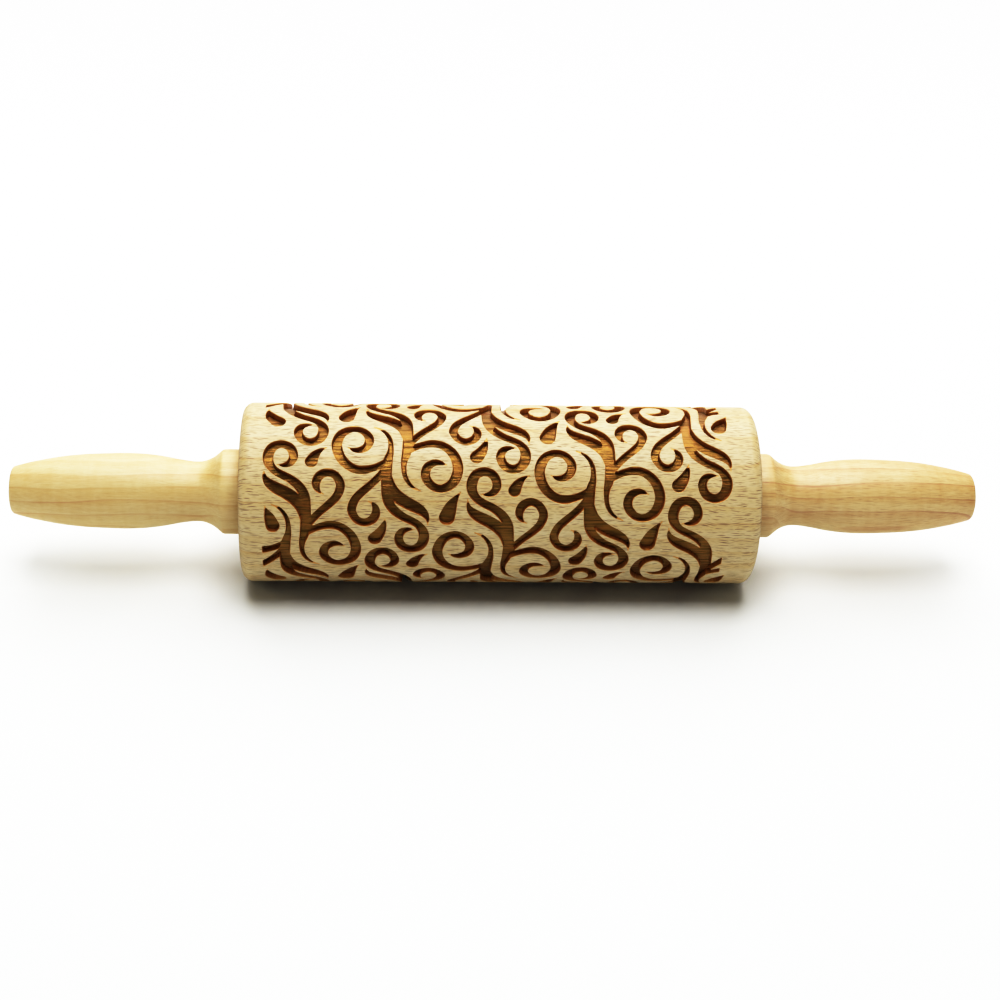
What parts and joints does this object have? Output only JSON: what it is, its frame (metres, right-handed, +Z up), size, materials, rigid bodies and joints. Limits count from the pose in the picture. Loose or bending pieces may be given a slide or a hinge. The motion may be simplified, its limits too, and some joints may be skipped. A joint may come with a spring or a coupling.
{
  "type": "engraved wooden rolling pin",
  "caption": "Turned wooden rolling pin whose engraved barrel presses a scroll pattern and turns freely on a steel rod between fixed handles.",
  "frame": {"origin": "middle of the barrel, on the axis that it turns about", "axes": "+X along the pin's axis to the right-hand handle, +Z up, -Y the side that faces the viewer"},
  "size_m": [0.325, 0.06, 0.06],
  "materials": {
    "barrel_wood": "sanded, unvarnished, pattern burnt brown",
    "handle_wood": "sanded, unvarnished",
    "steel": "drawn, ground",
    "nylon": "natural, moulded",
    "brass": "turned"
  },
  "bodies": {
    "handle_set": {"axle_rod": "steel", "handle_left": "handle_wood", "handle_right": "handle_wood", "insert_left": "brass", "insert_right": "brass", "washer_left": "nylon", "washer_right": "nylon"},
    "roller": {"barrel": "barrel_wood", "bush_left": "nylon", "bush_right": "nylon"}
  },
  "joints": [
    {"name": "barrel_spin", "type": "hinge", "parent": "handle_set", "child": "roller", "pos_m": [0, 0, 0], "axis": [1, 0, 0], "continuous": true}
  ]
}
